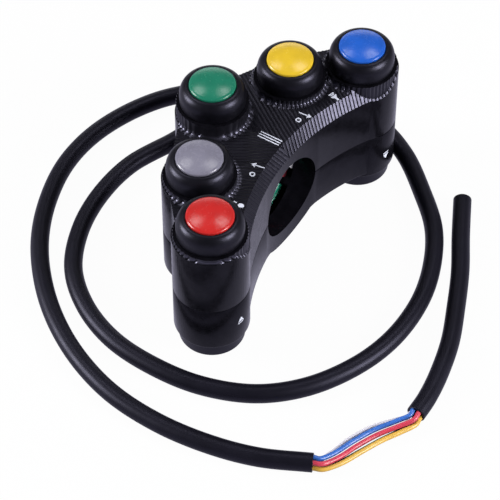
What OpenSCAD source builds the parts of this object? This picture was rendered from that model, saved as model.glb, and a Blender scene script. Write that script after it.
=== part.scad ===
// Handlebar switch cluster: a clamp housing in two halves with five push buttons on its front,
// two on its rear, and a round cable that lies on the table beside it.
// Millimetres. +X runs along the handlebar towards the grip, +Y across it, +Z up from the table.

/* [Handlebar clamp] */
// Diameter of the handlebar that the two halves clamp
bar_d = 22; // [20:0.5:22.5]
// Height of the handlebar axis, where the two halves meet
bar_z = 18.8; // [18.4:0.1:19.4]
// Wall of the rear half under the handlebar
saddle_wall = 4.8; // [4:0.1:5.2]
// Place of the wire groove round the handlebar, from the apex button
groove_x = 14.7; // [14:0.1:15]
// Width of the wire groove
groove_w = 5.4; // [5:0.1:6]
// Depth of the wire groove
groove_depth = 2.4; // [2.2:0.1:2.8]

/* [Housing] */
// Distance of the middle buttons from the apex button, along the handlebar
mid_x = 9.9; // [9.5:0.1:10.5]
// Distance of the middle buttons from the handlebar axis
mid_y = 20.2; // [20:0.1:21]
// Distance of the end buttons from the apex button, along the handlebar
end_x = 22.6; // [22.4:0.1:24]
// Distance of the end buttons from the handlebar axis
end_y = 34.2; // [33.8:0.1:36]
// Diameter of the round tower under each button
tower_d = 19.2; // [18.8:0.1:20]
// Distance of the outer side walls from the line between two towers
web_half = 8; // [7.6:0.1:8.4]
// Distance of the hollow side wall from the apex button, along the handlebar
wall_x = 23; // [22.8:0.1:23.6]
// Height of the top plate
plate_z = 36.4; // [35.6:0.1:37]
// Drop of the bevel along the hollow side
bevel_drop = 3; // [2:0.1:3.5]
// Width of the bevel along the hollow side
bevel_w = 2.4; // [2:0.1:2.8]
// Diameter of the collar under each front button
collar_d = 18.6; // [18.2:0.1:19]
// Height of the collars of the middle and end buttons above the plate
collar_h = 1.6; // [1.4:0.1:2]
// Height of the apex button's collar above the plate
apex_collar_h = 4.2; // [3.8:0.1:4.6]
// Width and height of the sloped cove round the foot of each collar
cove = 0.8; // [0.6:0.1:1]
// Height of the underside of the arms above the table
arm_z = 6; // [5.6:0.1:6.6]
// Height of the underside of the end towers above the table
foot_z = 4.6; // [4.2:0.1:5]
// Wall that each button is fastened through
seat_wall = 3; // [2.6:0.1:3.2]
// Diameter of the pocket round each switch
pocket_d = 14.8; // [14.6:0.1:15.2]
// Floor under the middle pockets
floor_wall = 2; // [1.6:0.1:2.4]

/* [Buttons] */
// Diameter of the round bezel
bezel_d = 16.8; // [16.4:0.1:17.2]
// Height of the bezel above its seat
bezel_h = 5.6; // [5.4:0.1:5.8]
// Height of the front bezels' rounded shoulder
bezel_round = 3.3; // [2.6:0.1:3.6]
// Width of the rim between the cap and the shoulder
rim_w = 0.3; // [0.25:0.05:0.6]
// Radius of the rear bezels' rounded edge
rear_round = 0.6; // [0.4:0.1:0.8]
// Diameter of the coloured cap
cap_d = 11.8; // [11.2:0.1:12]
// Height of the cap's straight side
cap_h = 3.1; // [2.9:0.1:3.3]
// Height of the front caps' edges above their rims
cap_proud = 0.5; // [0.3:0.1:0.7]
// Rise of the front caps' domes
cap_dome = 1.1; // [0.7:0.1:1.4]
// Depth of the flat rear caps below their rims
rear_sink = 1; // [0.6:0.1:1.2]
// Travel of every button
travel = 1.8; // [1.4:0.1:1.9]
// Diameter of the threaded shank
shank_d = 12; // [11.6:0.1:12.2]
// Length of the shank under the seat
shank_len = 8; // [7.8:0.1:8.2]
// Diameter of the plunger's stem
stem_d = 4.8; // [4.2:0.1:5.2]
// Diameter of the plunger's foot
foot_d = 8.2; // [7.8:0.1:8.3]
// Thickness of the plunger's foot
foot_h = 1.2; // [1:0.1:1.3]
// Diameter of the ring nut
nut_d = 14.2; // [14:0.1:14.4]
// Thickness of the ring nut
nut_h = 2; // [1.6:0.1:2.4]
// Diameter of the spring wire
spring_wire = 0.4; // [0.3:0.05:0.45]
// Mean diameter of the return spring
spring_d = 5.6; // [5:0.1:6]
// Turns of the return spring
spring_turns = 3; // [2:0.5:3]
// Thickness of the terminal base outside the shank
base_h = 1.2; // [1:0.1:1.3]
// Length of the solder tags
tag_len = 1.6; // [1.2:0.1:1.8]

/* [Screws] */
// Thread diameter of the housing screws
screw_d = 3; // [2.5:0.1:3.1]
// Diameter of the screw heads
head_d = 5.5; // [5:0.1:5.7]
// Height of the screw heads
head_h = 3; // [2.6:0.1:3.2]
// Length of thread held in the front half
grip_len = 7; // [5:0.5:8]
// Place of the two screws near the hollow side, along the handlebar
near_screw_x = 20; // [19.8:0.1:20.2]
// Distance of those two screws from the handlebar axis
near_screw_y = 14.8; // [14.6:0.1:15]
// Place of the two screws near the apex, along the handlebar
far_screw_x = 2; // [1.6:0.1:2.2]
// Distance of those two screws from the handlebar axis
far_screw_y = 14; // [13.8:0.1:14.2]

/* [Cable] */
// Outer diameter of the cable
cable_d = 4.8; // [4.4:0.1:5.2]
// Diameter of one insulated wire
wire_d = 1.25; // [1:0.05:1.25]
// Height of the cable outlet, and radius of its boss
outlet_z = 5; // [4.8:0.1:5.2]
// Sideways place of the outlet from the middle button
outlet_dy = 3.4; // [3:0.1:3.8]
// Length of the outlet boss outside the tower
outlet_out = 2.2; // [1.8:0.1:2.6]
// Diameter of the outlet's bore, which the gland plugs
outlet_d = 7; // [6.6:0.1:7.4]
// Length of the gland's plug inside the outlet
plug_len = 4; // [3:0.1:5]
// Diameter of the gland's flange
flange_d = 8.4; // [7.8:0.1:8.8]
// Thickness of the gland's flange
flange_h = 1.2; // [1:0.1:1.4]
// Length of the gland's tapered nose
nose_len = 3.2; // [3:0.1:3.4]

/* [Hidden] */
$fn = 72;

// Clearances
slide_gap = 0.08;   // cap in its bezel, stem in its bush
fixed_gap = 0.05;   // pieces that are fastened together
drill_gap = 0.1;    // shank in its hole
screw_gap = 0.2;    // screw in the rear half
nut_gap = 0.2;      // ring nut in its recess
move_gap = 0.3;     // between a moving piece and its stop
spare = 1;          // how far a cut runs past the surface it opens

// The towers' places in plan, with the origin under the middle of the housing
apex_x = -end_x / 2;
apex = [apex_x, 0];
mid = [apex_x + mid_x, mid_y];
tip = [apex_x + end_x, end_y];
sides = [1, -1];
function on_side(p, side) = [p.x, side * p.y];
inner_towers = concat([apex], [for (s = sides) on_side(mid, s)]);
end_towers = [for (s = sides) on_side(tip, s)];
all_towers = concat(inner_towers, end_towers);

bar_r = bar_d / 2;
saddle_r = bar_r + saddle_wall;
tower_r = tower_d / 2;
collar_r = collar_d / 2;
pocket_r = pocket_d / 2;
nut_r = nut_d / 2;
housing_l = end_x + tower_d;
front_seat_z = plate_z + collar_h;
apex_seat_z = plate_z + apex_collar_h;
rear_seat_z = bezel_h;

// The hollow side is an arc that each end tower stands a little way through
tower_stand = 0.3;
wall_at = apex_x + wall_x;
tip_reach = tower_r - tower_stand;
tip_back = wall_at - tip.x;
wall_arc_r = (tip_back ^ 2 + tip.y ^ 2 - tip_reach ^ 2) / (2 * (tip_reach - tip_back));
arc_at = [wall_at + wall_arc_r, 0];
arc_to_tip = wall_arc_r + tip_reach;
tip_dir = (tip - arc_at) / arc_to_tip;
join_along = (arc_to_tip ^ 2 + wall_arc_r ^ 2 - tower_r ^ 2) / (2 * arc_to_tip);
join_across = sqrt(wall_arc_r ^ 2 - join_along ^ 2);
join = arc_at + join_along * tip_dir + join_across * [-tip_dir.y, tip_dir.x];
past_join = join + [spare, 0];

// Outward directions of the two outer walls of an arm
function left_of(a, b) = let (d = (b - a) / norm(b - a)) [-d.y, d.x];
arm_side = [apex + web_half * left_of(apex, mid), mid + web_half * left_of(apex, mid),
            mid + web_half * left_of(mid, tip), tip + web_half * left_of(mid, tip), tip, past_join];

// Buttons: name, place, seat height, way that it faces, dome, colour
BUTTONS = [
    ["green", apex, apex_seat_z, 1, cap_dome, "green"],
    ["yellow", mid, front_seat_z, 1, cap_dome, "gold"],
    ["blue", tip, front_seat_z, 1, cap_dome, "royalblue"],
    ["grey", on_side(mid, -1), front_seat_z, 1, cap_dome, "gray"],
    ["red", on_side(tip, -1), front_seat_z, 1, cap_dome, "red"],
    ["rear_right", tip, rear_seat_z, -1, 0, "dimgray"],
    ["rear_left", on_side(tip, -1), rear_seat_z, -1, 0, "dimgray"]];

// One button, from its seat outwards
bezel_r = bezel_d / 2;
cap_r = cap_d / 2;
cap_bore_r = cap_r + slide_gap;
rim_lip = 0.2;
cap_top = bezel_h + cap_proud;
function cap_edge(b) = b[3] > 0 ? cap_top : bezel_h - rear_sink;
cap_low = cap_top - cap_h;
shoulder_w = bezel_r - cap_bore_r - rim_w;
function shoulder(b) = b[3] > 0 ? [shoulder_w, bezel_round] : [rear_round, rear_round];
pocket_floor = cap_low - travel - move_gap;
bush_low = pocket_floor - 2.2;
stem_r = stem_d / 2;
stem_bore_r = stem_r + slide_gap;
shank_r = shank_d / 2;
foot_r = foot_d / 2;
chamber_r = foot_r + move_gap;
foot_top = bush_low - move_gap;
foot_low = foot_top - foot_h;
base_plug = 1.2;
base_top = base_plug - shank_len;
base_low = -shank_len - base_h;
socket_depth = 1.2;
shoulder_steps = 10;
dome_steps = 8;

// Screws
screws = concat([for (s = sides) [apex_x + near_screw_x, s * near_screw_y]],
                [for (s = sides) [apex_x + far_screw_x, s * far_screw_y]]);
head_seat_z = arm_z + head_h + 0.5;
key_d = 2.9;
key_depth = 1.6;

// Cable outlet on the back of the right middle tower
outlet_y = mid.y + outlet_dy;
outlet_end_x = mid.x - sqrt(tower_r ^ 2 - outlet_dy ^ 2) - outlet_out;
riser_x = mid.x - 3;
nose_end_x = outlet_end_x - flange_h - nose_len;

// Routes of the cable's two stretches on the table, and of the bared wires between them
cable_r = cable_d / 2;
lead_run = [
    [-22, 23, 4.6], [-27, 20, 3.8], [-30.5, 16, 3.1], [-32.5, 11, 2.6], [-37, -1.5, 2.5],
    [-37.5, -14.5, 2.5], [-34.7, -27.3, 2.5], [-28.4, -39, 2.5], [-18.5, -47.3, 2.5], [-6.5, -52.2, 2.5],
    [6.7, -53.4, 2.5], [20, -51.8, 2.5], [32.5, -46.5, 2.5], [42, -37.5, 2.5], [48.5, -25.5, 2.5],
    [51.5, -13, 2.5], [51.1, 0.3, 2.5], [47.6, 12.4, 2.5], [41.3, 23.8, 2.5], [32, 33.2, 2.5],
    [21.5, 41.8, 2.5], [10, 47, 2.5], [-3, 47.5, 2.5], [-16, 44, 2.5], [-28.5, 37, 2.5],
    [-40.5, 27, 2.5], [-47.5, 16, 2.5], [-51.5, 2.5, 2.5], [-51.5, -11, 2.5], [-47.5, -24.5, 2.5],
    [-41, -36.5, 2.5], [-32, -47, 2.5], [-21.5, -55.5, 2.5], [-9.5, -62, 2.5], [3.5, -66, 2.5],
    [17.5, -67, 2.5], [31, -65.5, 2.5], [43.5, -62, 2.5], [55.5, -56, 2.5]];
lead_from = [nose_end_x, outlet_y, outlet_z];
lead_route = concat([lead_from, lead_from - [cable_r, 0, 0]], lead_run);
bare_route = [
    [55.7, -55.9, 2.5], [57.5, -55, 2.5], [59.5, -51, 2.2], [61.2, -45.5, 1.9],
    [63.5, -40, 1.9], [66.4, -35.5, 2.2], [68.6, -32.1, 2.5], [68.5, -30.2, 2.5]];
tail_route = [
    [68.5, -30, 2.5], [68.2, -24, 2.5], [66.8, -16, 2.5], [64, -6, 2.5],
    [59.5, 4.5, 2.5], [54.5, 15, 2.5], [48.5, 25.5, 2.5], [42.5, 36.5, 2.5]];

// Bared wires: name, place at the cut ends and in the middle, sideways then up, and colour
ring_r = 1.35;
WIRES = [
    ["white", 198, [3, -1], "white"], ["blue", 126, [1.5, -0.2], "blue"],
    ["red", 54, [-0.1, -0.3], "crimson"], ["yellow", -18, [-2.3, 0], "gold"],
    ["green", -90, [-1.4, -1.2], "seagreen"]];

// Wires in the groove: name, place in the groove's width, where its arc starts and ends, from straight
// down towards the right arm, and colour
GROOVE_WIRES = [
    ["red", 0, [56, 160], "crimson"],
    ["green", 0, [-100, 46], "seagreen"],
    ["white", 1.7, [72, 200], "white"]];
groove_wire_r = bar_r + groove_depth - wire_d / 2 - 0.35;

// Plan of the housing: the arms, hollowed by the arc, and the towers that stand as high as they do
module plan(towers) {
    difference() {
        polygon(concat(arm_side, [for (i = [len(arm_side) - 1:-1:0]) on_side(arm_side[i], -1)]));
        translate(arc_at) circle(r = wall_arc_r, $fn = 180);
    }
    for (p = towers) translate(p) circle(r = tower_r);
}

// A round bar along the handlebar's axis
module bar_cylinder(r, x_from, x_to) {
    translate([x_from, 0, bar_z]) rotate([0, 90, 0]) cylinder(r = r, h = x_to - x_from);
}

// Recess under a seat's wall for the ring nut, seen from the seat
module nut_recess() {
    translate([0, 0, -seat_wall - nut_h - nut_gap]) cylinder(r = nut_r + nut_gap, h = nut_h + nut_gap);
}

// What the handlebar and the wire groove take out of both halves
module bar_cuts() {
    bar_cylinder(bar_r, -housing_l, housing_l);
    groove_from = apex_x + groove_x - groove_w / 2;
    bar_cylinder(bar_r + groove_depth, groove_from, groove_from + groove_w);
}

// Slanted cutter for the bevel along the hollow side, a cone about the arc's centre
module bevel_cutter() {
    slope = bevel_w / bevel_drop;
    rise = bevel_drop + cove + spare;
    translate([arc_at.x, 0, plate_z - bevel_drop - spare])
        cylinder(h = spare + rise, r1 = wall_arc_r - spare * slope,
                 r2 = wall_arc_r + rise * slope, $fn = 180);
}

// Coves that slope from the collars down to the plate, inside the housing's outline
module coves() {
    root = 0.2;
    intersection() {
        translate([0, 0, bar_z]) linear_extrude(plate_z + spare) plan(all_towers);
        for (b = BUTTONS) if (b[3] > 0) translate([b[1].x, b[1].y, plate_z - root])
            cylinder(r1 = collar_r + cove + root, r2 = collar_r, h = cove + root);
    }
}

module front_housing() color([0.09, 0.09, 0.1]) {
    difference() {
        union() {
            difference() {
                union() {
                    translate([0, 0, bar_z]) linear_extrude(plate_z - bar_z) plan(all_towers);
                    coves();
                }
                bevel_cutter();
            }
            for (b = BUTTONS) if (b[3] > 0)
                translate([b[1].x, b[1].y, plate_z - bevel_drop - spare])
                    cylinder(r = collar_r, h = b[2] - plate_z + bevel_drop + spare);
        }
        bar_cuts();
        for (b = BUTTONS) if (b[3] > 0) {
            translate([b[1].x, b[1].y, bar_z - spare])
                cylinder(r = pocket_r, h = b[2] - seat_wall - bar_z + spare);
            translate(b[1]) cylinder(r = shank_r + drill_gap, h = b[2] + spare);
            on_seat(b) nut_recess();
        }
        for (p = screws) translate([p.x, p.y, bar_z - spare])
            cylinder(r = screw_d / 2, h = grip_len + 2 * spare);
    }
}

// Channels in the rear half for the wires, from the end pocket to the middle one and to the groove
module wire_channels(side) {
    channel_w = 5;
    channel_z = bar_z - 6;
    from = on_side(mid, side);
    to = on_side(tip, side);
    run = to - from;
    translate([from.x, from.y, channel_z]) rotate([0, 0, atan2(run.y, run.x)])
        translate([0, -channel_w / 2, 0]) cube([norm(run), channel_w, bar_z - channel_z + spare]);
    translate([apex_x + groove_x - groove_w / 2, side > 0 ? bar_r : -mid_y, channel_z])
        cube([groove_w, mid_y - bar_r, bar_z - channel_z + spare]);
}

module rear_housing() color([0.08, 0.08, 0.09]) {
    difference() {
        union() {
            difference() {
                linear_extrude(bar_z) plan(inner_towers);
                difference() {
                    translate([-housing_l, -housing_l, -spare])
                        cube([2 * housing_l, 2 * housing_l, arm_z + spare]);
                    bar_cylinder(saddle_r, -2 * housing_l, 2 * housing_l);
                }
            }
            for (p = end_towers) translate([p.x, p.y, foot_z]) cylinder(r = tower_r, h = bar_z - foot_z);
            translate([outlet_end_x, outlet_y, outlet_z]) rotate([0, 90, 0])
                cylinder(r = outlet_z, h = mid.x - outlet_end_x);
        }
        bar_cuts();
        for (s = sides) {
            translate([mid.x, s * mid.y, arm_z + floor_wall]) cylinder(r = pocket_r, h = bar_z - arm_z);
            translate([tip.x, s * tip.y, 0]) {
                cylinder(r = bezel_r + screw_gap, h = rear_seat_z);
                cylinder(r = shank_r + drill_gap, h = bar_z);
                translate([0, 0, rear_seat_z + seat_wall]) cylinder(r = pocket_r, h = bar_z);
            }
            wire_channels(s);
        }
        for (b = BUTTONS) if (b[3] < 0) on_seat(b) nut_recess();
        for (p = screws) translate(p) {
            cylinder(r = screw_d / 2 + screw_gap, h = bar_z + spare);
            cylinder(r = head_d / 2 + screw_gap, h = head_seat_z);
        }
        translate([outlet_end_x - spare, outlet_y, outlet_z]) rotate([0, 90, 0])
            cylinder(d = outlet_d, h = riser_x - outlet_end_x + spare);
        translate([riser_x, outlet_y, outlet_z])
            cylinder(r = cable_r + screw_gap, h = bar_z - outlet_z - spare);
    }
}

module housing_screws() color("dimgray") {
    for (p = screws) translate(p) {
        translate([0, 0, head_seat_z])
            cylinder(r = screw_d / 2 - fixed_gap, h = bar_z + grip_len - head_seat_z);
        difference() {
            translate([0, 0, head_seat_z - head_h]) cylinder(d = head_d, h = head_h);
            translate([0, 0, head_seat_z - head_h - spare])
                cylinder(d = key_d, h = key_depth + spare, $fn = 6);
        }
    }
}

// Stands a piece on its button's seat, facing the way that the button faces
module on_seat(b) {
    translate([b[1].x, b[1].y, b[2]]) rotate([b[3] > 0 ? 0 : 180, 0, 0]) children();
}

module bezel(b) color([0.1, 0.1, 0.11]) on_seat(b) rotate_extrude() {
    bend = shoulder(b);
    polygon(concat(
        [[chamber_r, -shank_len], [shank_r, -shank_len], [shank_r, 0], [bezel_r, 0]],
        [for (i = [0:shoulder_steps]) let (a = 90 * i / shoulder_steps)
            [bezel_r - bend.x * (1 - cos(a)), bezel_h - bend.y * (1 - sin(a))]],
        [[cap_bore_r + rim_lip, bezel_h], [cap_bore_r, bezel_h - rim_lip], [cap_bore_r, pocket_floor],
         [stem_bore_r, pocket_floor], [stem_bore_r, bush_low], [chamber_r, bush_low]]));
}

module cap(b) color(b[5]) on_seat(b) rotate_extrude() {
    polygon(concat(
        [[0, cap_low + socket_depth], [stem_r + fixed_gap, cap_low + socket_depth],
         [stem_r + fixed_gap, cap_low], [cap_r, cap_low]],
        [for (i = [0:dome_steps]) let (x = cap_r * (1 - i / dome_steps))
            [x, cap_edge(b) + b[4] * (1 - (x / cap_r) ^ 2)]]));
}

module plunger(b) color("whitesmoke") on_seat(b) {
    translate([0, 0, foot_low]) cylinder(r = foot_r, h = foot_h);
    translate([0, 0, foot_top]) cylinder(r = stem_r, h = cap_low + socket_depth - fixed_gap - foot_top);
}

module base(b) color("ivory") on_seat(b) {
    translate([0, 0, base_low]) cylinder(r = shank_r, h = base_h);
    translate([0, 0, -shank_len]) cylinder(r = chamber_r - fixed_gap, h = base_plug);
}

module button_nuts() color("dimgray") {
    notch_w = 2;
    notch_depth = (nut_r - shank_r) / 2;
    for (b = BUTTONS) on_seat(b) translate([0, 0, -seat_wall - nut_h]) difference() {
        cylinder(r = nut_r, h = nut_h);
        translate([0, 0, -spare]) cylinder(r = shank_r + fixed_gap, h = nut_h + 2 * spare);
        for (a = [0:90:270]) rotate(a) translate([nut_r - notch_depth, -notch_w / 2, -spare])
            cube([nut_d, notch_w, nut_h + 2 * spare]);
    }
}

module solder_tags() color("goldenrod") {
    tag = [0.6, 2];
    for (b = BUTTONS) on_seat(b) for (s = sides)
        translate([s * foot_r / 2 - tag.x / 2, -tag.y / 2, base_low - tag_len])
            cube([tag.x, tag.y, tag_len]);
}

// A tube of the given radius and number of sides along a list of points, none of them upright
function way(pts, i) = let (d = pts[min(i + 1, len(pts) - 1)] - pts[max(i - 1, 0)]) d / norm(d);
function beside(t) = let (s = cross(t, [0, 0, 1])) s / norm(s);
module tube(pts, r, n) {
    last = (len(pts) - 1) * n;
    rings = [for (i = [0:len(pts) - 1]) let (t = way(pts, i), s = beside(t), u = cross(s, t))
        for (k = [0:n - 1]) let (a = 360 * (k + 0.5) / n) pts[i] + r * (cos(a) * s + sin(a) * u)];
    polyhedron(points = rings, faces = concat(
        [for (i = [0:len(pts) - 2], k = [0:n - 1]) let (a = i * n + k, b = i * n + (k + 1) % n)
            each [[a, b, b + n], [a, b + n, a + n]]],
        [for (k = [1:n - 2]) [0, k + 1, k]],
        [for (k = [1:n - 2]) [last, last + k, last + k + 1]]));
}

// Return spring between the plunger's foot and the terminal base
spring_end = spring_wire / 2 + 0.15;
spring_low = base_top + spring_end;
spring_high = foot_low - spring_end;
curl_rings = 8;
function spring_points() = [for (i = [0:spring_turns * curl_rings]) let (a = 360 * i / curl_rings)
    [spring_d / 2 * cos(a), spring_d / 2 * sin(a),
     spring_low + (spring_high - spring_low) * i / (spring_turns * curl_rings)]];
echo(spring_gap = (spring_high - spring_low) / spring_turns - spring_wire);

module spring(b) color("silver") on_seat(b) tube(spring_points(), spring_wire / 2, 6);

module groove_wire(w) color(w[3]) {
    translate([apex_x + groove_x + w[1], 0, bar_z]) rotate([0, 90, 0]) rotate([0, 0, w[2][0]])
        rotate_extrude(angle = w[2][1] - w[2][0])
            translate([groove_wire_r, 0]) circle(d = wire_d, $fn = 24);
}

module cable_gland() color([0.05, 0.05, 0.05]) {
    translate([outlet_end_x, outlet_y, outlet_z]) rotate([0, -90, 0]) {
        translate([0, 0, -plug_len]) cylinder(r = outlet_d / 2 - fixed_gap, h = plug_len);
        cylinder(d = flange_d, h = flange_h);
        translate([0, 0, flange_h]) cylinder(r1 = cable_r + 1.2, r2 = cable_r + 0.4, h = nose_len);
    }
}

module cable_lead() color([0.05, 0.05, 0.06]) tube(lead_route, cable_r, 10);

module cable_tail() color([0.05, 0.05, 0.06]) tube(tail_route, cable_r, 10);

// A bared wire fans out from its place in the cut end to its place in the middle of the gap
function fan(i) = sin(180 * i / (len(bare_route) - 1)) ^ 2;
function bare_points(w) = [for (i = [0:len(bare_route) - 1])
    let (t = way(bare_route, i), s = -beside(t), f = fan(i), at_end = ring_r * [-cos(w[1]), sin(w[1])],
         o = (1 - f) * at_end + f * w[2])
    bare_route[i] + o.x * s + [0, 0, o.y]];

module bare_wire(w) color(w[3]) tube(bare_points(w), wire_d / 2, 8);

front_housing();
rear_housing();
housing_screws();
button_nuts();
solder_tags();
for (b = BUTTONS) {
    bezel(b);
    cap(b);
    plunger(b);
    spring(b);
    base(b);
}
for (w = GROOVE_WIRES) groove_wire(w);
cable_gland();
cable_lead();
cable_tail();
for (w = WIRES) bare_wire(w);
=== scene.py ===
"""Looks of the handlebar switch cluster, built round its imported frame.

Lengths are in millimetres until a mesh is made. Camera, floor and lamps are in metres.
"""

import math

import bmesh
import bpy
import numpy as np
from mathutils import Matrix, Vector


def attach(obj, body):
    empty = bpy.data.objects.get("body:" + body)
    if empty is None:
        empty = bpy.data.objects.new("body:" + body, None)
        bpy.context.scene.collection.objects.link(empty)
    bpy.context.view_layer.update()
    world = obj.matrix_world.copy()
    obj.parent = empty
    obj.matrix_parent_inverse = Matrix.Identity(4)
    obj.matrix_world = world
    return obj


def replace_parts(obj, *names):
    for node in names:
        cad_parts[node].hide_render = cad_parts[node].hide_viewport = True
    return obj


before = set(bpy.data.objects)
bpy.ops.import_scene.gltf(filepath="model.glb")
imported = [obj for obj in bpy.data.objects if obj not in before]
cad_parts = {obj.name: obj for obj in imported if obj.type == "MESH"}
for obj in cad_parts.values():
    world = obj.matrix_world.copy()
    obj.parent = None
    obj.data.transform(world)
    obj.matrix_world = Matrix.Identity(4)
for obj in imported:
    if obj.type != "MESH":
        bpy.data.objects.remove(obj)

MM = 0.001
SCENE = bpy.context.scene
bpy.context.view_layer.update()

# Sizes of the solids that the pieces follow
APEX, MID, TIP = (-11.3, 0.0), (-1.4, 20.2), (11.3, 34.2)
ARC_AT, ARC_R = (72.56, 0.0), 60.86
TOWER_R, COLLAR_R, COVE, WEB = 9.6, 9.3, 0.8, 8.0
FOOT_Z, ARM_Z, PARTING_Z, BEVEL_Z, PLATE_Z = 4.6, 6.0, 18.8, 33.4, 36.4
FRONT_SEAT, APEX_SEAT, REAR_SEAT = 38.0, 40.6, 5.6
BAR_R, SADDLE_Y, OUTLET_Y, OUTLET_Z, OUTLET_R, GLAND_X = 11.0, 9.4, 23.6, 5.0, 5.0, -12.578
BUTTONS = {
    "green": (APEX, APEX_SEAT, 1), "yellow": (MID, FRONT_SEAT, 1), "blue": (TIP, FRONT_SEAT, 1),
    "grey": ((MID[0], -MID[1]), FRONT_SEAT, 1), "red": ((TIP[0], -TIP[1]), FRONT_SEAT, 1),
    "rear_right": (TIP, REAR_SEAT, -1), "rear_left": ((TIP[0], -TIP[1]), REAR_SEAT, -1)}
TOWERS = [APEX, MID, (MID[0], -MID[1]), TIP, (TIP[0], -TIP[1])]


# Camera

CAMERA_LENS, CAMERA_SENSOR, CAMERA_REACH = 176.93, 36, 20
CAMERA_TARGET, CAMERA_BACK, CAMERA_AWAY = (0.00668, -0.01013, 0.0044), (0.3585, -0.5372, 0.7635), 0.63043


def make_camera():
    data = bpy.data.cameras.new("camera")
    data.lens, data.sensor_width, data.clip_end = CAMERA_LENS, CAMERA_SENSOR, CAMERA_REACH
    cam = bpy.data.objects.new("camera", data)
    SCENE.collection.objects.link(cam)
    back = Vector(CAMERA_BACK).normalized()
    cam.location = Vector(CAMERA_TARGET) + CAMERA_AWAY * back
    cam.rotation_mode = "QUATERNION"
    cam.rotation_quaternion = (-back).to_track_quat("-Z", "Y")
    SCENE.camera = cam


make_camera()


# Materials

GLOSS_PATCH, GRAIN_DEPTH = 2.7, 0.0001


def nodes_of(name):
    mat = bpy.data.materials.new(name)
    mat.use_nodes = True
    tree = mat.node_tree
    return mat, tree, tree.nodes["Principled BSDF"]


def noise(tree, scale, detail):
    """A noise texture in the object's own space."""
    coords = tree.nodes.new("ShaderNodeTexCoord")
    tex = tree.nodes.new("ShaderNodeTexNoise")
    tex.inputs["Scale"].default_value = scale
    tex.inputs["Detail"].default_value = detail
    tree.links.new(coords.outputs["Object"], tex.inputs["Vector"])
    return tex.outputs["Fac"]


def ramp(tree, fac, low, high, at=(0.35, 0.65)):
    node = tree.nodes.new("ShaderNodeValToRGB")
    for element, place, colour in zip(node.color_ramp.elements, at, (low, high)):
        element.position = place
        element.color = (*colour, 1)
    tree.links.new(fac, node.inputs["Fac"])
    return node.outputs["Color"]


def spread(tree, fac, low, high):
    """A value between low and high, from the middle range of a noise."""
    node = tree.nodes.new("ShaderNodeMapRange")
    for socket, value in (("From Min", 0.3), ("From Max", 0.7), ("To Min", low), ("To Max", high)):
        node.inputs[socket].default_value = value
    tree.links.new(fac, node.inputs["Value"])
    return node.outputs["Result"]


def surface(name, colour, rough, spec=0.5, metal=0.0, vary=0.12, grain=9000, bump=0.02,
            patch=350, rough_vary=0.05, tint=None):
    """A moulded or metal surface: two close shades in soft patches, uneven gloss and a fine grain."""
    mat, tree, bsdf = nodes_of(name)
    low = [c * (1 - vary) for c in colour]
    high = [min(1, c * (1 + vary)) for c in colour]
    tree.links.new(ramp(tree, noise(tree, patch, 5), low, high), bsdf.inputs["Base Color"])
    gloss = spread(tree, noise(tree, patch * GLOSS_PATCH, 3), rough - rough_vary, rough + rough_vary)
    tree.links.new(gloss, bsdf.inputs["Roughness"])
    bsdf.inputs["Metallic"].default_value = metal
    bsdf.inputs["Specular IOR Level"].default_value = spec
    if tint:
        bsdf.inputs["Specular Tint"].default_value = (*tint, 1)
    node = tree.nodes.new("ShaderNodeBump")
    node.inputs["Strength"].default_value = bump
    node.inputs["Distance"].default_value = GRAIN_DEPTH
    tree.links.new(noise(tree, grain, 2), node.inputs["Height"])
    tree.links.new(node.outputs["Normal"], bsdf.inputs["Normal"])
    return mat


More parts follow.
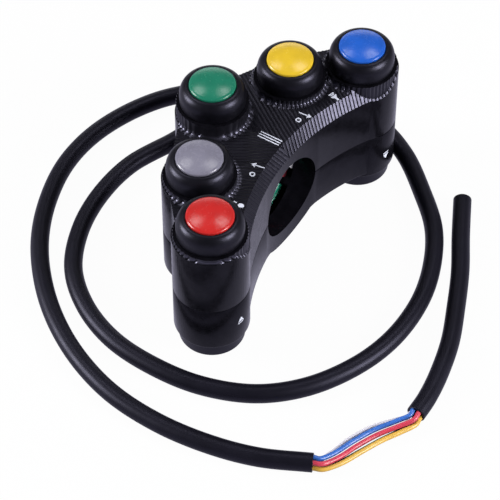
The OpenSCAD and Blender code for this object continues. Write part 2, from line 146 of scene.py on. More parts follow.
BLACK, COOL = (0.0036, 0.0034, 0.005), (0.74, 0.72, 1.0)
MATS = {
    "housing": surface("black_housing", BLACK, 0.2, 0.1, vary=0.25, grain=14000, bump=0.03, tint=COOL),
    "ribbed": surface("ribbed_black", BLACK, 0.38, 0.2, vary=0.25, grain=14000, bump=0.03, tint=COOL),
    "milled": surface("milled_black", (0.0045, 0.0043, 0.006), 0.34, 0.46, vary=0.3, grain=12000,
                      bump=0.03, tint=COOL),
    # Cove faces: a lighter and glossier copy of the milled black, so the ends of the ribs show bright
    # dots; the lighter colour is a painted highlight.
    "beads": surface("cove_black_painted_highlight", (0.008, 0.0077, 0.011), 0.34, 0.9, vary=0.3, grain=12000,
                     bump=0.03, tint=COOL),
    "bezel": surface("black_bezel", (0.0022, 0.0021, 0.0032), 0.36, 0.26, vary=0.2, grain=16000,
                     bump=0.012, rough_vary=0.03, tint=COOL),
    "green": surface("cap_green", (0.0075, 0.127, 0.076), 0.24, 0.4, vary=0.06, bump=0.03),
    "yellow": surface("cap_yellow", (0.505, 0.335, 0.0175), 0.24, 0.4, vary=0.05, bump=0.03),
    "blue": surface("cap_blue", (0.009, 0.073, 0.37), 0.24, 0.4, vary=0.06, bump=0.03),
    "grey": surface("cap_grey", (0.145, 0.14, 0.184), 0.26, 0.4, vary=0.06, bump=0.03),
    "red": surface("cap_red", (0.372, 0.0125, 0.0115), 0.24, 0.4, vary=0.06, bump=0.03),
    "black": surface("cap_black", (0.016, 0.016, 0.019), 0.36, 0.4, vary=0.15, bump=0.04),
    "jacket": surface("cable_jacket", (0.0034, 0.0032, 0.0058), 0.42, 0.2, vary=0.2, grain=3000,
                      bump=0.003, patch=120, rough_vary=0.03, tint=COOL),
    "rubber": surface("gland_rubber", (0.014, 0.014, 0.015), 0.55, 0.35, vary=0.25, grain=5000,
                      bump=0.1),
    "print": surface("white_print", (0.56, 0.58, 0.68), 0.5, 0.4, vary=0.06, grain=12000, bump=0.05,
                     patch=1500),
    "switch": surface("white_plastic", (0.74, 0.73, 0.70), 0.42, 0.45, vary=0.05, bump=0.03),
    "base": surface("ivory_plastic", (0.62, 0.55, 0.40), 0.5, 0.45, vary=0.1, bump=0.06),
    "spring": surface("spring_steel", (0.56, 0.56, 0.58), 0.25, 0.5, metal=1, vary=0.12, grain=20000),
    "screw": surface("black_oxide_steel", (0.05, 0.05, 0.055), 0.38, 0.5, metal=1, vary=0.3,
                     grain=15000, bump=0.06),
    "nut": surface("plated_nut", (0.36, 0.36, 0.38), 0.32, 0.5, metal=1, vary=0.15, grain=15000,
                   bump=0.06),
    "brass": surface("tag_brass", (0.62, 0.45, 0.18), 0.3, 0.5, metal=1, vary=0.15, grain=15000),
    "wire_white": surface("wire_white", (0.56, 0.54, 0.60), 0.36, 0.5, vary=0.04, patch=500),
    "wire_blue": surface("wire_blue", (0.022, 0.10, 0.38), 0.36, 0.5, vary=0.08, patch=500),
    "wire_red": surface("wire_red", (0.42, 0.03, 0.06), 0.36, 0.5, vary=0.08, patch=500),
    "wire_yellow": surface("wire_yellow", (0.50, 0.30, 0.045), 0.36, 0.5, vary=0.06, patch=500),
    "wire_green": surface("wire_green", (0.0, 0.20, 0.12), 0.36, 0.5, vary=0.08, patch=500)}


# Mesh helpers

def finish_mesh(name, bm, mat, sharp=32):
    """Turns a bmesh in millimetres into a linked object with its material and sharp edges."""
    bmesh.ops.scale(bm, vec=(MM, MM, MM), verts=bm.verts)
    mesh = bpy.data.meshes.new(name)
    bm.to_mesh(mesh)
    bm.free()
    mesh.shade_smooth()
    mesh.set_sharp_from_angle(angle=math.radians(sharp))
    mesh.materials.append(MATS[mat])
    obj = bpy.data.objects.new(name, mesh)
    SCENE.collection.objects.link(obj)
    return obj


def skin(bm, rings, closed=False):
    """Joins rings of vertices, where a ring of one vertex is a point."""
    pairs = list(zip(rings, rings[1:])) + ([(rings[-1], rings[0])] if closed else [])
    for a, b in pairs:
        n = max(len(a), len(b))
        for k in range(n):
            j = (k + 1) % n
            if len(a) == 1:
                bm.faces.new((a[0], b[k], b[j]))
            elif len(b) == 1:
                bm.faces.new((a[k], b[0], a[j]))
            else:
                bm.faces.new((a[k], b[k], b[j], a[j]))
    bmesh.ops.recalc_face_normals(bm, faces=bm.faces)


def lathe(name, profile, mat, at, seat, facing, body, closed=False, sides=96, turn=None):
    """A turned piece on a seat: profile is radius and height above the seat, facing up or down."""
    bm = bmesh.new()
    rings = []
    for r, z in profile:
        if r == 0:
            points = [(0, 0, z)]
        else:
            points = [(r * math.cos(a), r * math.sin(a), z)
                      for a in (2 * math.pi * k / sides for k in range(sides))]
        place = [(at[0] + x, at[1] + facing * y, seat + facing * z) for x, y, z in points]
        rings.append([bm.verts.new(turn(p) if turn else p) for p in place])
    skin(bm, rings, closed)
    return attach(finish_mesh(name, bm, mat), body)


def arc(cx, cz, rx, rz, start, end, steps):
    """Points of a quarter ellipse or any other stretch of one, in degrees."""
    angles = (math.radians(start + (end - start) * i / steps) for i in range(steps + 1))
    return [(cx + rx * math.cos(a), cz + rz * math.sin(a)) for a in angles]


def smooth_path(points, step=0.6):
    """A Catmull-Rom curve through the points, sampled about every step."""
    p = np.array(points, float)
    p = np.vstack([2 * p[0] - p[1], p, 2 * p[-1] - p[-2]])
    out = []
    for i in range(1, len(p) - 2):
        n = max(2, round(np.linalg.norm(p[i + 1] - p[i]) / step))
        for k in range(n):
            t = k / n
            out.append(0.5 * (2 * p[i] + (p[i + 1] - p[i - 1]) * t
                              + (2 * p[i - 1] - 5 * p[i] + 4 * p[i + 1] - p[i + 2]) * t ** 2
                              + (3 * p[i] - p[i - 1] - 3 * p[i + 1] + p[i + 2]) * t ** 3))
    return np.array(out + [p[-2]])


def arc_lengths(path):
    return np.concatenate([[0], np.cumsum(np.linalg.norm(np.diff(path, axis=0), axis=1))])


def sweep(name, path, stations, mat, sides=24, body="housing"):
    """A tube along a path: stations are places along it with the radius there, where 0 closes it."""
    run = arc_lengths(path)
    ways = np.gradient(path, axis=0)
    bm = bmesh.new()
    rings = []
    for s, r in stations:
        s_in = min(max(s, 0), run[-1])
        p = np.array([np.interp(s_in, run, path[:, k]) for k in range(3)])
        t = np.array([np.interp(s_in, run, ways[:, k]) for k in range(3)])
        t /= np.linalg.norm(t)
        p = p + (s - s_in) * t
        side = np.cross(t, (0, 0, 1))
        side /= np.linalg.norm(side)
        up = np.cross(side, t)
        if r == 0:
            rings.append([bm.verts.new(p)])
        else:
            angles = (2 * math.pi * (k + 0.5) / sides for k in range(sides))
            ring = [p + r * (math.cos(a) * side + math.sin(a) * up) for a in angles]
            rings.append([bm.verts.new(q) for q in ring])
    skin(bm, rings)
    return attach(finish_mesh(name, bm, mat), body)


# Cable: the lead from the gland, five bared wires and the tail

CABLE_R, JACKET, CUT_DEPTH, CUT_EASE, RING_GAP = 2.4, 0.5, 2.0, 0.12, 1.2
WIRE_R, WIRE_RING, WIRE_TUCK, WIRE_SIDES = 0.625, 1.35, 1.7, 16
STUB_R, STUB_RING, STUB_EASE, STUB_DEPTHS = 0.575, 1.15, 0.1, (1.9, 0.9, 0.35)
LEAD = [
    (-16.978, 23.6, 5), (-19.378, 23.6, 5), (-22, 23, 4.6), (-27, 20, 3.8), (-30.5, 16, 3.1),
    (-32.5, 11, 2.6), (-37, -1.5, 2.5), (-37.5, -14.5, 2.5), (-34.7, -27.3, 2.5), (-28.4, -39, 2.5),
    (-18.5, -47.3, 2.5), (-6.5, -52.2, 2.5), (6.7, -53.4, 2.5), (20, -51.8, 2.5), (32.5, -46.5, 2.5),
    (42, -37.5, 2.5), (48.5, -25.5, 2.5), (51.5, -13, 2.5), (51.1, 0.3, 2.5), (47.6, 12.4, 2.5),
    (41.3, 23.8, 2.5), (32, 33.2, 2.5), (21.5, 41.8, 2.5), (10, 47, 2.5), (-3, 47.5, 2.5),
    (-16, 44, 2.5), (-28.5, 37, 2.5), (-40.5, 27, 2.5), (-47.5, 16, 2.5), (-51.5, 2.5, 2.5),
    (-51.5, -11, 2.5), (-47.5, -24.5, 2.5), (-41, -36.5, 2.5), (-32, -47, 2.5), (-21.5, -55.5, 2.5),
    (-9.5, -62, 2.5), (3.5, -66, 2.5), (17.5, -67, 2.5), (31, -65.5, 2.5), (43.5, -62, 2.5),
    (55.5, -56, 2.5)]
BARE = np.array([
    (55.7, -55.9, 2.5), (57.5, -55, 2.5), (59.5, -51, 2.2), (61.2, -45.5, 1.9), (63.5, -40, 1.9),
    (66.4, -35.5, 2.2), (68.6, -32.1, 2.5), (68.5, -30.2, 2.5)])
TAIL = [
    (68.5, -30, 2.5), (68.2, -24, 2.5), (66.8, -16, 2.5), (64, -6, 2.5), (59.5, 4.5, 2.5),
    (54.5, 15, 2.5), (48.5, 25.5, 2.5), (42.5, 36.5, 2.5)]
WIRES = {"white": (198, (3, -1)), "blue": (126, (1.5, -0.2)), "red": (54, (-0.1, -0.3)),
         "yellow": (-18, (-2.3, 0)), "green": (-90, (-1.4, -1.2))}
GLAND_BOOT = [
    (0, -4), (3.45, -4), (3.45, 0), (4.05, 0), (4.2, 0.15), (4.2, 1.05), (4.05, 1.2), (3.6, 1.2),
    (3.5, 1.6), (3.1, 1.65), (3.1, 1.95), (3.38, 2.0), (3.28, 2.4), (2.9, 2.45), (2.9, 2.75),
    (3.16, 2.8), (3.05, 3.25), (2.75, 3.3), (2.75, 3.6), (2.92, 3.65), (2.82, 4.4), (0, 4.4)]


def jacket(name, points, cut_start, cut_end):
    """Cable jacket along its route, hollow where it is cut."""
    path = smooth_path(points)
    length = arc_lengths(path)[-1]
    bore = CABLE_R - JACKET
    start = [(CUT_DEPTH, 0), (CUT_DEPTH, bore), (0, bore), (0, CABLE_R - CUT_EASE), (CUT_EASE, CABLE_R)]
    end = [(length - s, r) for s, r in reversed(start)]
    middle = np.linspace(RING_GAP / 2, length - RING_GAP / 2, round(length / RING_GAP))
    stations = start if cut_start else [(0, 0), (0, CABLE_R)]
    stations = stations + [(s, CABLE_R) for s in middle]
    stations = stations + (end if cut_end else [(length, CABLE_R), (length, 0)])
    return sweep(name, path, stations, "jacket"), path, length


def wire_points(angle, middle):
    """Route of a bared wire, fanned out from its place in the cut ends, as the solids have it."""
    points = []
    last = len(BARE) - 1
    for i, p in enumerate(BARE):
        t = BARE[min(i + 1, last)] - BARE[max(i - 1, 0)]
        side = -np.cross(t, (0, 0, 1)) / np.linalg.norm(np.cross(t, (0, 0, 1)))
        f = math.sin(math.pi * i / last) ** 2
        a = math.radians(angle)
        o = (1 - f) * WIRE_RING * np.array((-math.cos(a), math.sin(a))) + f * np.array(middle)
        points.append(p + o[0] * side + np.array((0, 0, o[1])))
    return points


def tail_stub(name, path, angle):
    """End of a wire in the tail's open end."""
    a = math.radians(angle)
    end, t = path[-1], path[-1] - path[-2]
    t = t / np.linalg.norm(t)
    side = np.cross(t, (0, 0, 1))
    side /= np.linalg.norm(side)
    place = end + STUB_RING * (math.cos(a) * side + math.sin(a) * np.cross(side, t))
    line = np.array([place - depth * t for depth in STUB_DEPTHS])
    run = STUB_DEPTHS[0] - STUB_DEPTHS[-1]
    stations = [(0, 0), (0, STUB_R), (run - STUB_EASE, STUB_R), (run, STUB_R - STUB_EASE), (run, 0)]
    return sweep(name, line, stations, f"wire_{name.split('_')[-1]}", WIRE_SIDES)


lead, lead_path, lead_length = jacket("cable_lead_jacket", LEAD, False, True)
tail, tail_path, tail_length = jacket("cable_tail_jacket", TAIL, True, True)
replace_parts(lead, "cable_lead")
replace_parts(tail, "cable_tail")
wires, stubs = [], []
for colour, (angle, middle) in WIRES.items():
    route = smooth_path(wire_points(angle, middle), 0.4)
    run = arc_lengths(route)[-1]
    spots = [(-WIRE_TUCK, 0), (-WIRE_TUCK, WIRE_R)] + [(s, WIRE_R) for s in np.linspace(0, run, 60)]
    spots += [(run + WIRE_TUCK, WIRE_R), (run + WIRE_TUCK, 0)]
    wire = sweep(f"bared_wire_{colour}", route, spots, f"wire_{colour}", WIRE_SIDES)
    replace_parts(wire, f"bare_wire_{colour}")
    wires.append(wire)
for colour, (angle, _) in WIRES.items():
    stub = tail_stub(f"tail_end_wire_{colour}", tail_path, angle)
    stubs.append(stub)
gland = lathe("gland_boot", GLAND_BOOT, "rubber", (0, 0), 0, 1, "housing",
              turn=lambda p: (GLAND_X - p[2], OUTLET_Y + p[1], OUTLET_Z + p[0]))
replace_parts(gland, "cable_gland")


# Housing: both halves from their solids, with milled ribs on the front and eased edges

RIB_PITCH, RIB_ANGLE, RIB_LOW_Z = 1.0, math.radians(33.4), BEVEL_Z - 0.6
RIB_DEPTH = {"plate": 0.16, "cove": 0.28, "bevel": 0.22, "collar": 0.2}
RIB_STEPS = [0, 0.34, 0.5, 0.66, 1]
RIB_SHAPE = {
    "plate": [0, 0.85, 1, 0.85, 0], "cove": [0, 0.3, 1, 0.3, 0],
    "bevel": [0, 0.12, 1, 0.12, 0], "collar": [0, 0.85, 1, 0.85, 0]}
HOLLOW_LEVELS = [PLATE_Z + COVE * k for k in (0.25, 0.5, 0.75, 0.9)]
SURFACES = ["plate", "cove", "bevel", "collar", "outer", "other"]
FINISHES = ["housing", "milled", "beads", "ribbed"]
FINISH = {"bevel": 1, "collar": 1, "cove": 2, "plate": 3}
EDGE_R, PARTING_R, SADDLE_FADE, ARM_FADE = 0.5, 0.15, 1.5, 1.2
PARTING_GROOVE = {PARTING_Z: 0.4, PARTING_Z - 0.15: 0.4, PARTING_Z - 0.17: 0.12, PARTING_Z - 0.22: 0.04,
                  PARTING_Z - 0.32: 0.0}
NEAR = 1e-4


def across_ribs(p):
    """Distance across the ribs, which meet in a chevron over the handlebar."""
    return math.sin(RIB_ANGLE) * p[0] + math.cos(RIB_ANGLE) * abs(p[1])


def is_outer(c, n):
    """Whether a wall at c that faces n belongs to the housing's outline."""
    if abs(n[2]) > 0.1:
        return False
    for t in TOWERS:
        away = np.array((c[0] - t[0], c[1] - t[1]))
        if abs(np.linalg.norm(away) - TOWER_R) < 0.12 and away @ n[:2] > 8:
            return True
    away = np.array((c[0] - ARC_AT[0], c[1] - ARC_AT[1]))
    if abs(np.linalg.norm(away) - ARC_R) < 0.15 and away @ n[:2] < -50:
        return True
    side = 1 if c[1] > 0 else -1
    for a, b in ((APEX, MID), (MID, TIP)):
        d = np.array((b[0] - a[0], b[1] - a[1])) / math.dist(a, b)
        out = np.array((-d[1], side * d[0]))
        if out @ n[:2] > 0.99 and abs(out @ (c[0] - a[0], c[1] - side * a[1]) - WEB) < 0.1:
            return True
    return False


def surface_of(c, n):
    if c[2] > BEVEL_Z - 0.5:
        if n[2] > 0.98:
            return "plate" if abs(c[2] - PLATE_Z) < 0.05 else "other"
        if 0.665 < n[2] < 0.8:
            return "cove"
        if 0.5 < n[2] <= 0.665:
            return "bevel"
        for t in TOWERS:
            away = np.array((c[0] - t[0], c[1] - t[1]))
            if abs(n[2]) < 0.1 and abs(np.linalg.norm(away) - COLLAR_R) < 0.12 and away @ n[:2] > 7:
                return "collar"
    return "outer" if is_outer(c, n) else "other"


def split(poly, values, level):
    """The parts of a flat polygon below and above a level of a value that is linear over it."""
    below, above = [], []
    values = [level if abs(v - level) < NEAR else v for v in values]
    for i, (p, a) in enumerate(zip(poly, values)):
        q, b = poly[i - len(poly) + 1], values[i - len(poly) + 1]
        if a <= level:
            below.append(p)
        if a >= level:
            above.append(p)
        if (a - level) * (b - level) < 0:
            cut = p + (q - p) * ((level - a) / (b - a))
            below.append(cut)
            above.append(cut)
    parts = []
    for part, outside in ((below, lambda v: v < level), (above, lambda v: v > level)):
        parts.append(part if len(part) > 2 and any(outside(v) for v in values) else None)
    return parts


def cut_at(polys, value, levels):
    """Cuts polygons at every level of a value."""
    out = []
    for poly in polys:
        rest = poly
        values = [value(p) for p in rest]
        for level in levels(min(values), max(values)):
            below, above = split(rest, [value(p) for p in rest], level)
            if below is not None and above is not None:
                out.append(below)
                rest = above
        out.append(rest)
    return out


def between(levels):
    return lambda low, high: [v for v in sorted(levels) if low + NEAR < v < high - NEAR]


def rib_levels(low, high):
    ribs = range(math.floor(low / RIB_PITCH), math.ceil(high / RIB_PITCH))
    return between([RIB_PITCH * (k + step) for k in ribs for step in RIB_STEPS[:-1]])(low, high)


def with_rib_points(poly, z):
    """A polygon with the ribs' points put in on its edges at height z."""
    out = []
    for p, q in zip(poly, poly[1:] + poly[:1]):
        if abs(p[2] - z) > NEAR or abs(q[2] - z) > NEAR:
            out.append(p)
            continue
        stops = [p, q] if p[1] * q[1] >= 0 else [p, p + (q - p) * (p[1] / (p[1] - q[1])), q]
        for a, b in zip(stops, stops[1:]):
            va, vb = across_ribs(a), across_ribs(b)
            levels = rib_levels(min(va, vb), max(va, vb))
            if va > vb:
                levels.reverse()
            out += [a] + [a + (b - a) * (v - va) / (vb - va) for v in levels]
    return out


def rounded(z, radius):
    """Heights up a wall from its edge at z, and how far the rounded edge lies back at each."""
    turns = [math.radians(a) for a in (0, 20, 40, 60, 76, 90)]
    return {z + radius * (1 - math.sin(a)): radius * (1 - math.cos(a)) for a in turns}


def near_arm_end(p):
    """Share of an arm's rounding at p, which runs out at the saddle, end tower and cable outlet."""
    from_saddle = (abs(p[1]) - SADDLE_Y) / SADDLE_FADE
    from_tower = (math.dist((p[0], abs(p[1])), TIP) - TOWER_R - 0.05) / ARM_FADE
    from_outlet = (abs(p[1] - OUTLET_Y) - OUTLET_R - 0.1) / ARM_FADE if p[0] < MID[0] else 1
    return min(max(min(from_saddle, from_tower, from_outlet), 0), 1)


def is_bore(c):
    return abs(math.hypot(c[1], c[2] - PARTING_Z) - BAR_R) < 0.2


def rib_sink(p, label):
    return RIB_DEPTH[label] * np.interp((across_ribs(p) / RIB_PITCH) % 1, RIB_STEPS, RIB_SHAPE[label])


def hollow(z):
    """Height of the hollow cove where the solid's plain slope is at z."""
    rise = min(max(z - PLATE_Z, 0), COVE)
    return PLATE_Z + COVE - math.sqrt(COVE ** 2 - rise ** 2) if z > PLATE_Z else z


def housing_piece(name, node, walls, ribbed):
    """A finer copy of a half of the housing.

    walls gives, for each edge of its outline by height, how far the wall lies back at heights near it.
    """
    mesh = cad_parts[node].data
    mesh.calc_loop_triangles()
    co = np.array([v.co for v in mesh.vertices]) / MM
    bm = bmesh.new()
    kind = bm.faces.layers.int.new("kind")
    for tri in mesh.loop_triangles:
        corners = co[list(tri.vertices)]
        n = np.cross(corners[1] - corners[0], corners[2] - corners[0])
        size = np.linalg.norm(n)
        if size < 1e-7:
            continue
        which = surface_of(corners.mean(0), n / size)
        low, high = corners[:, 2].min(), corners[:, 2].max()
        polys = [list(corners)]
        if which == "outer" or is_bore(corners.mean(0)):
            for edge, depths in walls.items():
                if min(abs(low - edge), abs(high - edge)) < 0.01:
                    polys = cut_at(polys, lambda p: p[2], between(depths))
        if ribbed and high > RIB_LOW_Z:
            polys = cut_at(polys, lambda p: p[2], between([RIB_LOW_Z, *HOLLOW_LEVELS]))
            top = [p for p in polys if max(q[2] for q in p) > RIB_LOW_Z + NEAR]
            low_part = [p for p in polys if max(q[2] for q in p) <= RIB_LOW_Z + NEAR]
            polys = [with_rib_points(p, RIB_LOW_Z) for p in low_part]
            polys += cut_at(cut_at(top, lambda p: p[1], between([0.0])), across_ribs, rib_levels)
        for poly in polys:
            face = bm.faces.new([bm.verts.new(p) for p in poly])
            face[kind] = SURFACES.index(which)
            face.material_index = FINISH.get(which, 0)
    bmesh.ops.remove_doubles(bm, verts=bm.verts, dist=0.003)
    for v in {v for f in bm.faces if SURFACES[f[kind]] == "cove" for v in f.verts}:
        v.co.z = hollow(v.co.z)
    bm.normal_update()
    moves = {}
    for v in bm.verts:
        sums = {}
        for f in v.link_faces:
            sums[f[kind]] = sums.get(f[kind], Vector()) + f.normal * f.calc_area()
        ease = 0
        for edge, depths in walls.items():
            deep = next((d for z, d in depths.items() if abs(v.co.z - z) < 0.005), 0)
            ease = max(ease, deep * (near_arm_end(v.co) if edge == ARM_Z else 1))
        rows, wants = [], []
        for which, total in sums.items():
            if total.length < 1e-9:
                continue
            label = SURFACES[which]
            rows.append(total.normalized())
            if label in RIB_DEPTH:
                wants.append(-rib_sink(v.co, label))
            else:
                wants.append(-ease if label == "outer" else 0)
        if any(wants):
            moves[v] = np.linalg.pinv(np.array(rows), rcond=0.05) @ np.array(wants)
    for v, move in moves.items():
        v.co += Vector(move)
    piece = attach(finish_mesh(name, bm, FINISHES[0], 30), "housing")
    for finish in FINISHES[1:]:
        piece.data.materials.append(MATS[finish])
    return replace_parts(piece, node)


front = housing_piece("front_half", "front_housing", {PARTING_Z: rounded(PARTING_Z, PARTING_R)}, True)
rear_walls = {PARTING_Z: PARTING_GROOVE, ARM_Z: rounded(ARM_Z, EDGE_R), FOOT_Z: rounded(FOOT_Z, EDGE_R)}
rear = housing_piece("rear_half", "rear_housing", rear_walls, False)


# Buttons

BEZEL_R, BEZEL_H, CAP_R, CAP_BORE, CAP_LOW, CAP_TOP = 8.4, 5.6, 5.9, 5.98, 3.0, 6.1
CAP_EDGE, CAP_STEPS, CAP_DOME, REAR_SINK, REAR_DISH = 0.35, 16, 1.1, 1, -0.25
SOCKET_R, SOCKET_DEEP = 2.45, 1.2
SHANK_R, SHANK_LEN, CHAMBER_R, BUSH_R, POCKET_FLOOR, BUSH_LOW = 6.0, 8.0, 4.4, 2.48, 0.9, -1.3
THREAD_DEEP, THREAD_HALF = 0.22, 0.4
FRONT_SHOULDER, REAR_SHOULDER = (2.12, 3.3), (0.6, 0.6)


def bezel_profile(wide, high):
    """Section of a bezel with a shoulder of the given width and height."""
    thread = [(SHANK_R - (THREAD_DEEP if i % 2 else 0), -SHANK_LEN + 0.2 + THREAD_HALF * i)
              for i in range(19)]
    rim = [(CAP_BORE + 0.14, BEZEL_H - 0.03), (CAP_BORE + 0.03, BEZEL_H - 0.12),
           (CAP_BORE, BEZEL_H - 0.3)]
    return ([(CHAMBER_R, -SHANK_LEN), (SHANK_R - 0.2, -SHANK_LEN)] + thread
            + [(SHANK_R, 0), (BEZEL_R - 0.3, 0), (BEZEL_R - 0.22, 0.22), (BEZEL_R - 0.02, 0.34)]
            + arc(BEZEL_R - wide, BEZEL_H - high, wide, high, 0, 90, 20) + rim
            + [(CAP_BORE, POCKET_FLOOR), (BUSH_R, POCKET_FLOOR), (BUSH_R, BUSH_LOW),
               (CHAMBER_R, BUSH_LOW)])


def cap_profile(top, dome):
    """Section of a cap with a socket for its plunger, a rounded edge and a domed or dished top."""
    crown = [(CAP_R - CAP_EDGE) * (1 - i / CAP_STEPS) for i in range(CAP_STEPS + 1)]
    return ([(0, CAP_LOW + SOCKET_DEEP), (SOCKET_R, CAP_LOW + SOCKET_DEEP), (SOCKET_R, CAP_LOW),
             (CAP_R - 0.15, CAP_LOW), (CAP_R, CAP_LOW + 0.15)]
            + arc(CAP_R - CAP_EDGE, top - CAP_EDGE, CAP_EDGE, CAP_EDGE, 0, 60, 5)
            + [(x, top + dome * (1 - (x / CAP_R) ** 2)) for x in crown])


for name, (at, seat, facing) in BUTTONS.items():
    front_facing = facing > 0
    section = bezel_profile(*(FRONT_SHOULDER if front_facing else REAR_SHOULDER))
    bezel = lathe(f"bezel_ring_{name}", section, "bezel", at, seat, facing, "housing", closed=True)
    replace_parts(bezel, f"bezel_{name}")
    profile = cap_profile(*((CAP_TOP, CAP_DOME) if front_facing else (BEZEL_H - REAR_SINK, REAR_DISH)))
    finish = name if front_facing else "black"
    cap = lathe(f"button_cap_{name}", profile, finish, at, seat, facing, f"button_{name}")
    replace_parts(cap, f"cap_{name}")


# Printed marks

PRINT_TOP, PRINT_LOW, TOWER_PROUD, STROKE = 0.03, -0.12, 0.06, 0.26


def mark(name, shapes, place):
    """Thin printed shapes: outlines of points in the mark's own plane, put in place by a function."""
    bm = bmesh.new()
    for outline in shapes:
        top = [bm.verts.new(place(x, y, PRINT_TOP)) for x, y in outline]
        low = [bm.verts.new(place(x, y, PRINT_LOW)) for x, y in outline]
        bm.faces.new(top)
        bm.faces.new(low[::-1])
        for i in range(len(top)):
            bm.faces.new((low[i - 1], low[i], top[i], top[i - 1]))
    bmesh.ops.recalc_face_normals(bm, faces=bm.faces)
    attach(finish_mesh(name, bm, "print", 40), "housing")


def on_plate(at, toward):
    """A place on the top plate, with the mark's own X towards a direction."""
    d = np.array(toward, float) / math.hypot(*toward)

    def place(x, y, z):
        return (at[0] + x * d[0] - y * d[1], at[1] + x * d[1] + y * d[0], PLATE_Z + z)
    return place


def on_tower(at, angle, height):
    """A place on an end tower's wall, with the mark's own Y up."""
    def place(x, y, z):
        a = math.radians(angle) + x / TOWER_R
        r = TOWER_R + z + (TOWER_PROUD if z > 0 else 0)
        return (at[0] + r * math.cos(a), at[1] + r * math.sin(a), height + y)
    return place


def bar(x0, y0, x1, y1, w):
    """Outline of a straight stroke of width w."""
    d = np.array((x1 - x0, y1 - y0)) / math.dist((x0, y0), (x1, y1))
    s = w / 2 * np.array((-d[1], d[0]))
    a, b = np.array((x0, y0)), np.array((x1, y1))
    return [tuple(a + s), tuple(a - s), tuple(b - s), tuple(b + s)]


ARROW = [bar(-1.75, 0, 0.9, 0, 0.32), [(0.7, -0.75), (1.85, 0), (0.7, 0.75)]]
DROP = [[(0.9 * math.cos(a) * (0.75 if math.cos(a) > 0 else 1), 0.62 * math.sin(a))
         for a in (2 * math.pi * k / 20 for k in range(20))],
        bar(1.15, 0.55, 2.0, 0.8, STROKE), bar(1.2, 0, 2.1, 0, STROKE),
        bar(1.15, -0.55, 2.0, -0.8, STROKE)]
FUNNEL = [[(-1.3, -0.3), (-0.5, -0.3), (0.55, -0.95), (0.55, 0.95), (-0.5, 0.3), (-1.3, 0.3)],
          bar(0.95, -0.6, 0.95, 0.6, STROKE), bar(1.4, -0.85, 1.4, 0.85, STROKE)]
TRIANGLE = [[(-0.95, -0.6), (0.95, -0.6), (0, 1.0)], bar(-0.95, -1.15, 0.95, -1.15, 0.3)]
TURN = [2 * math.pi * k / 20.02 for k in range(21)]
RING = [[(0.75 * math.cos(a), 0.75 * math.sin(a)) for a in TURN]
        + [(0.42 * math.cos(a), 0.42 * math.sin(a)) for a in reversed(TURN)]]
LIST = [bar(-3.1, y, 3.1, y, STROKE) for y in (-0.8, 0, 0.8)]
mark("mark_list", LIST, on_plate((5.6, 0.4), (1, 0.02)))
mark("mark_ring_left", RING, on_plate((8.6, -12.0), (1, 0)))
mark("mark_ring_right", RING, on_plate((8.1, 9.6), (1, 0)))
mark("mark_arrow_left", ARROW, on_plate((8.3, -8.98), (-3.2, -0.54)))
mark("mark_arrow_right", ARROW, on_plate((8.5, 12.04), (3.53, 0.3)))
mark("mark_sound", FUNNEL, on_plate((11.4, 21.4), (-1, 0.25)))
mark("mark_beam", DROP, on_plate((11.9, -22.1), (-1, -0.3)))
mark("mark_rear_left", TRIANGLE, on_tower((TIP[0], -TIP[1]), -7, 12.2))
mark("mark_rear_right", [[(x, -y) for x, y in shape] for shape in TRIANGLE], on_tower(TIP, -9, 10.0))


# Materials of the solids that stay as they are

KEPT = {
    "plunger": "switch", "base": "base", "spring": "spring", "housing_screws": "screw",
    "button_nuts": "nut", "solder_tags": "brass", "groove_wire_red": "wire_red",
    "groove_wire_green": "wire_green", "groove_wire_white": "wire_white"}
for node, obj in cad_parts.items():
    finish = next((look for start, look in KEPT.items() if node.startswith(start)), None)
    if finish and not obj.hide_render:
        obj.data.materials.clear()
        obj.data.materials.append(MATS[finish])


# Floor and light

FLOOR_HALF, FLOOR_WHITE, FLOOR_FADE = 3, 0.97, (0.16, 0.42)
FLOOR_NEAR, FLOOR_FAR, FLOOR_MIRRORED = (0.52, 0.52, 0.54), (0.06, 0.06, 0.065), (0.62, 0.60, 0.78)
WHITE, DIM = (1, 1, 1), (0.1, 0.1, 0.1)


def math_node(tree, operation, *values):
    node = tree.nodes.new("ShaderNodeMath")
    node.operation = operation
    for socket, value in zip(node.inputs, values):
        if isinstance(value, bpy.types.NodeSocket):
            tree.links.new(value, socket)
        else:
            socket.default_value = value
    return node.outputs["Value"]


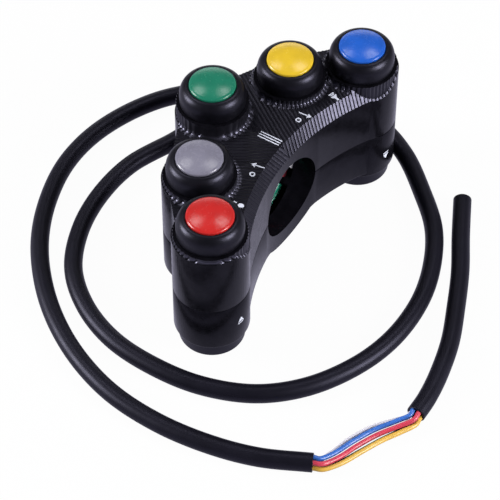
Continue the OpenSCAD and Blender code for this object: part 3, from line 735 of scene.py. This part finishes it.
def make_floor():
    """A floor that is white to the camera, pale in reflections and darker away from the object."""
    h = FLOOR_HALF
    mesh = bpy.data.meshes.new("floor")
    mesh.from_pydata([(-h, -h, 0), (h, -h, 0), (h, h, 0), (-h, h, 0)], [], [(0, 1, 2, 3)])
    floor = bpy.data.objects.new("floor", mesh)
    SCENE.collection.objects.link(floor)
    mat, tree, bsdf = nodes_of("white_floor")
    coords = tree.nodes.new("ShaderNodeTexCoord")
    away = tree.nodes.new("ShaderNodeVectorMath")
    away.operation = "LENGTH"
    tree.links.new(coords.outputs["Object"], away.inputs[0])
    shade = ramp(tree, away.outputs["Value"], FLOOR_NEAR, FLOOR_FAR, FLOOR_FADE)
    tree.links.new(shade, bsdf.inputs["Base Color"])
    bsdf.inputs["Roughness"].default_value = 0.9
    bsdf.inputs["Specular IOR Level"].default_value = 0.0
    glow = tree.nodes.new("ShaderNodeEmission")
    glow.inputs["Strength"].default_value = 1.0
    seen = tree.nodes.new("ShaderNodeLightPath").outputs
    tint = ramp(tree, seen["Is Camera Ray"], FLOOR_MIRRORED, WHITE, (0, 1))
    tree.links.new(tint, glow.inputs["Color"])
    mirrored = math_node(tree, "MAXIMUM", seen["Is Glossy Ray"], seen["Is Transmission Ray"])
    near = ramp(tree, away.outputs["Value"], WHITE, DIM, FLOOR_FADE)
    mirrored_near = math_node(tree, "MULTIPLY", mirrored, near)
    shown = math_node(tree, "MAXIMUM", seen["Is Camera Ray"], mirrored_near)
    mix = tree.nodes.new("ShaderNodeMixShader")
    tree.links.new(math_node(tree, "MULTIPLY", shown, FLOOR_WHITE), mix.inputs["Fac"])
    tree.links.new(bsdf.outputs["BSDF"], mix.inputs[1])
    tree.links.new(glow.outputs["Emission"], mix.inputs[2])
    tree.links.new(mix.outputs["Shader"], tree.nodes["Material Output"].inputs["Surface"])
    mesh.materials.append(mat)


def softbox(name, place, size, watts, look_at=(0, 0, 0.02)):
    data = bpy.data.lights.new(name, "AREA")
    data.shape = "RECTANGLE"
    data.size, data.size_y = size
    data.energy = watts
    lamp = bpy.data.objects.new(name, data)
    SCENE.collection.objects.link(lamp)
    lamp.location = place
    lamp.rotation_mode = "QUATERNION"
    lamp.rotation_quaternion = (Vector(look_at) - Vector(place)).to_track_quat("-Z", "Y")


make_floor()
softbox("left", (-0.93, -0.62, 0.46), (0.5, 0.6), 23)
softbox("right", (1.06, 0.14, 0.5), (0.5, 0.6), 22)
softbox("back", (-0.66, 0.99, 0.24), (0.9, 0.36), 1.8)
softbox("top_left", (-0.6, 0.1, 1.0), (0.36, 0.36), 2.6)
softbox("top_right", (0.08, 0.5, 1.05), (0.36, 0.36), 2.6)


def make_world():
    """Pale walls near the horizon and a dim ceiling."""
    world = bpy.data.worlds.new("studio")
    SCENE.world = world
    world.use_nodes = True
    tree = world.node_tree
    coords = tree.nodes.new("ShaderNodeTexCoord")
    axes = tree.nodes.new("ShaderNodeSeparateXYZ")
    tree.links.new(coords.outputs["Generated"], axes.inputs["Vector"])
    fade = tree.nodes.new("ShaderNodeMapRange")
    fade.interpolation_type = "SMOOTHSTEP"
    for socket, value in (("From Min", 0.1), ("From Max", 0.6), ("To Min", 0.3), ("To Max", 0.14)):
        fade.inputs[socket].default_value = value
    tree.links.new(axes.outputs["Z"], fade.inputs["Value"])
    back = tree.nodes["Background"]
    back.inputs["Color"].default_value = (0.95, 0.94, 1, 1)
    tree.links.new(fade.outputs["Result"], back.inputs["Strength"])


make_world()
SCENE.view_settings.view_transform = "Standard"
